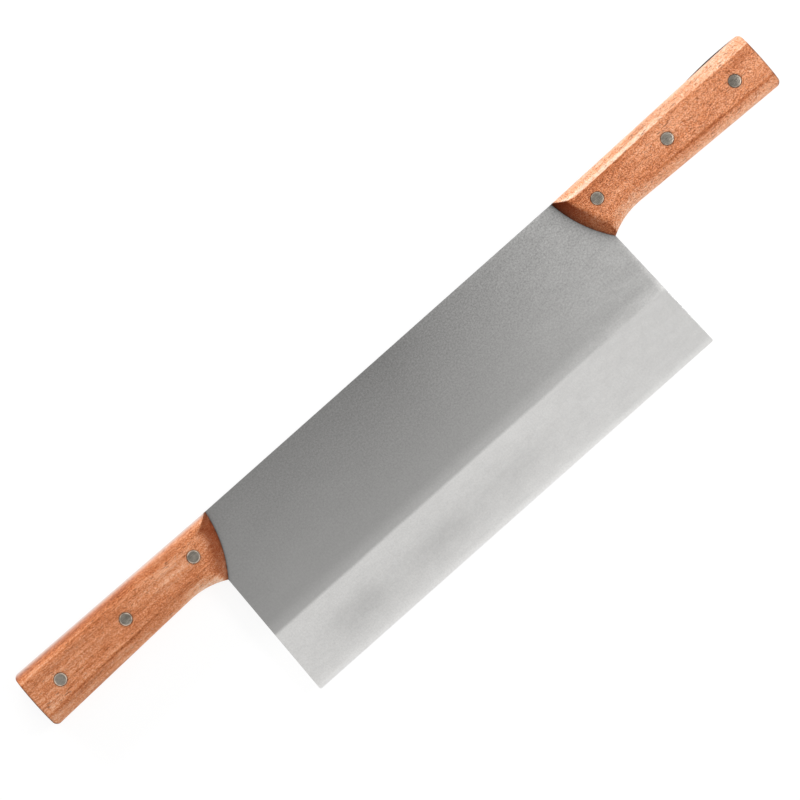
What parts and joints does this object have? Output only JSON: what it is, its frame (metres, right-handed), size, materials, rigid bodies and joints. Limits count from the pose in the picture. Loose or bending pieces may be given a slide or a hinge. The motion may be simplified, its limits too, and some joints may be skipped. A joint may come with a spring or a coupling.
{
  "type": "double-handled cutting knife",
  "caption": "Broad rectangular steel blade ground along its lower edge, with a riveted wooden grip on a full tang at each end, pressed or rocked through food with both hands.",
  "frame": {"origin": "under the middle of the knife's outline, on the surface that the back of the grips lies on", "axes": "+X along the knife from the left grip to the right grip, +Y from the cutting edge up to the spine, +Z square to the blade, out of its front face"},
  "size_m": [0.5044, 0.1108, 0.0211],
  "materials": {
    "blade_steel": "satin ground steel, brighter on the ground band along the edge",
    "grip_wood": "oiled reddish-brown hardwood with long grain and fine dark pores",
    "rivet_steel": "grey steel, ground flush with the wood"
  },
  "bodies": {
    "root": {"blade": "blade_steel", "left_front_scale": "grip_wood", "left_back_scale": "grip_wood", "left_inner_rivet_sleeve": "rivet_steel", "left_inner_rivet_pin": "rivet_steel", "left_middle_rivet_sleeve": "rivet_steel", "left_middle_rivet_pin": "rivet_steel", "left_outer_rivet_sleeve": "rivet_steel", "left_outer_rivet_pin": "rivet_steel", "right_front_scale": "grip_wood", "right_back_scale": "grip_wood", "right_inner_rivet_sleeve": "rivet_steel", "right_inner_rivet_pin": "rivet_steel", "right_middle_rivet_sleeve": "rivet_steel", "right_middle_rivet_pin": "rivet_steel", "right_outer_rivet_sleeve": "rivet_steel", "right_outer_rivet_pin": "rivet_steel"}
  },
  "joints": []
}
